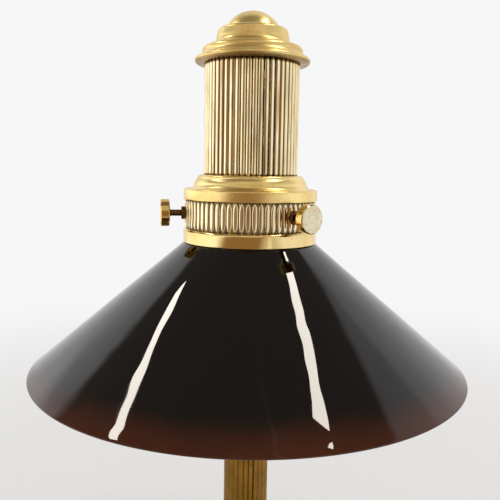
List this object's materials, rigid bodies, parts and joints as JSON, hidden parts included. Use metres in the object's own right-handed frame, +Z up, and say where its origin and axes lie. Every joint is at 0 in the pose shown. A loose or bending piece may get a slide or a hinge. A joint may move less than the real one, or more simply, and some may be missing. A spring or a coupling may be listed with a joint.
{
  "type": "table lamp",
  "caption": "Brass table lamp with a reeded column, a conical dark brown glass shade clamped by thumb screws in a ribbed gallery, and a reeded chimney with a turned cap.",
  "frame": {"origin": "middle of the felt underside, on the surface the lamp stands on", "axes": "+Z up along the column; -Y towards the viewer of the picture; +Y towards the cord inlet"},
  "size_m": [0.28, 0.28, 0.4302],
  "materials": {
    "brass": "polished brass, aged, tarnished in the grooves",
    "brown_glass": "glossy, opaque dark brown outside over white",
    "opal_glass": "satin white opal",
    "steel": "zinc plated",
    "iron": "rough casting, painted dark",
    "felt": "green felt",
    "black_plastic": "moulded, matt",
    "porcelain": "unglazed white",
    "black_glass": "black moulded glass",
    "nylon": "natural nylon"
  },
  "bodies": {
    "lamp": {"base_nut": "steel", "base_shell": "brass", "base_washer": "steel", "base_weight": "iron", "bulb_cap": "steel", "bulb_contact": "brass", "bulb_glass": "opal_glass", "bulb_insulator": "black_glass", "chimney": "brass", "chimney_cap": "brass", "column_capital": "brass", "column_foot": "brass", "cord_bush": "black_plastic", "felt_pad": "felt", "gallery_collar": "brass", "gallery_cup": "brass", "glass_shade": "brown_glass", "holder_contact": "brass", "holder_cup": "brass", "holder_insulator": "porcelain", "holder_screw_shell": "brass", "holder_skirt": "brass", "reeded_band": "brass", "reeded_column": "brass", "screw_bosses": "brass", "stay_lower_nuts": "brass", "stay_rod_1": "brass", "stay_rod_2": "brass", "stay_rod_3": "brass", "stay_spider": "brass", "stay_upper_nuts": "brass", "stem_tube": "steel", "terminal_screws": "steel"},
    "screw_tip_1": {"screw_tip_1": "nylon"},
    "thumb_screw_1": {"thumb_screw_1": "brass"},
    "screw_tip_2": {"screw_tip_2": "nylon"},
    "thumb_screw_2": {"thumb_screw_2": "brass"},
    "screw_tip_3": {"screw_tip_3": "nylon"},
    "thumb_screw_3": {"thumb_screw_3": "brass"}
  },
  "joints": [
    {"name": "screw_1_travel", "type": "slide", "parent": "lamp", "child": "screw_tip_1", "axis": [0.6293, -0.7771, 0], "range_m": [0, 0.0042]},
    {"name": "screw_1_turn", "type": "hinge", "parent": "screw_tip_1", "child": "thumb_screw_1", "pos_m": [0.03147, -0.03886, 0.3042], "axis": [0.6293, -0.7771, 0], "range_deg": [0, 2160]},
    {"name": "screw_2_travel", "type": "slide", "parent": "lamp", "child": "screw_tip_2", "axis": [0.3584, 0.9336, 0], "range_m": [0, 0.0042]},
    {"name": "screw_2_turn", "type": "hinge", "parent": "screw_tip_2", "child": "thumb_screw_2", "pos_m": [0.01792, 0.04668, 0.3042], "axis": [0.3584, 0.9336, 0], "range_deg": [0, 2160]},
    {"name": "screw_3_travel", "type": "slide", "parent": "lamp", "child": "screw_tip_3", "axis": [-0.9877, -0.1564, 0], "range_m": [0, 0.0042]},
    {"name": "screw_3_turn", "type": "hinge", "parent": "screw_tip_3", "child": "thumb_screw_3", "pos_m": [-0.04938, -0.00782, 0.3042], "axis": [-0.9877, -0.1564, 0], "range_deg": [0, 2160]}
  ],
  "couplings": [
    {"joint": "screw_1_turn", "follows": "screw_1_travel", "rad_per_m": 8976},
    {"joint": "screw_2_turn", "follows": "screw_2_travel", "rad_per_m": 8976},
    {"joint": "screw_3_turn", "follows": "screw_3_travel", "rad_per_m": 8976}
  ]
}
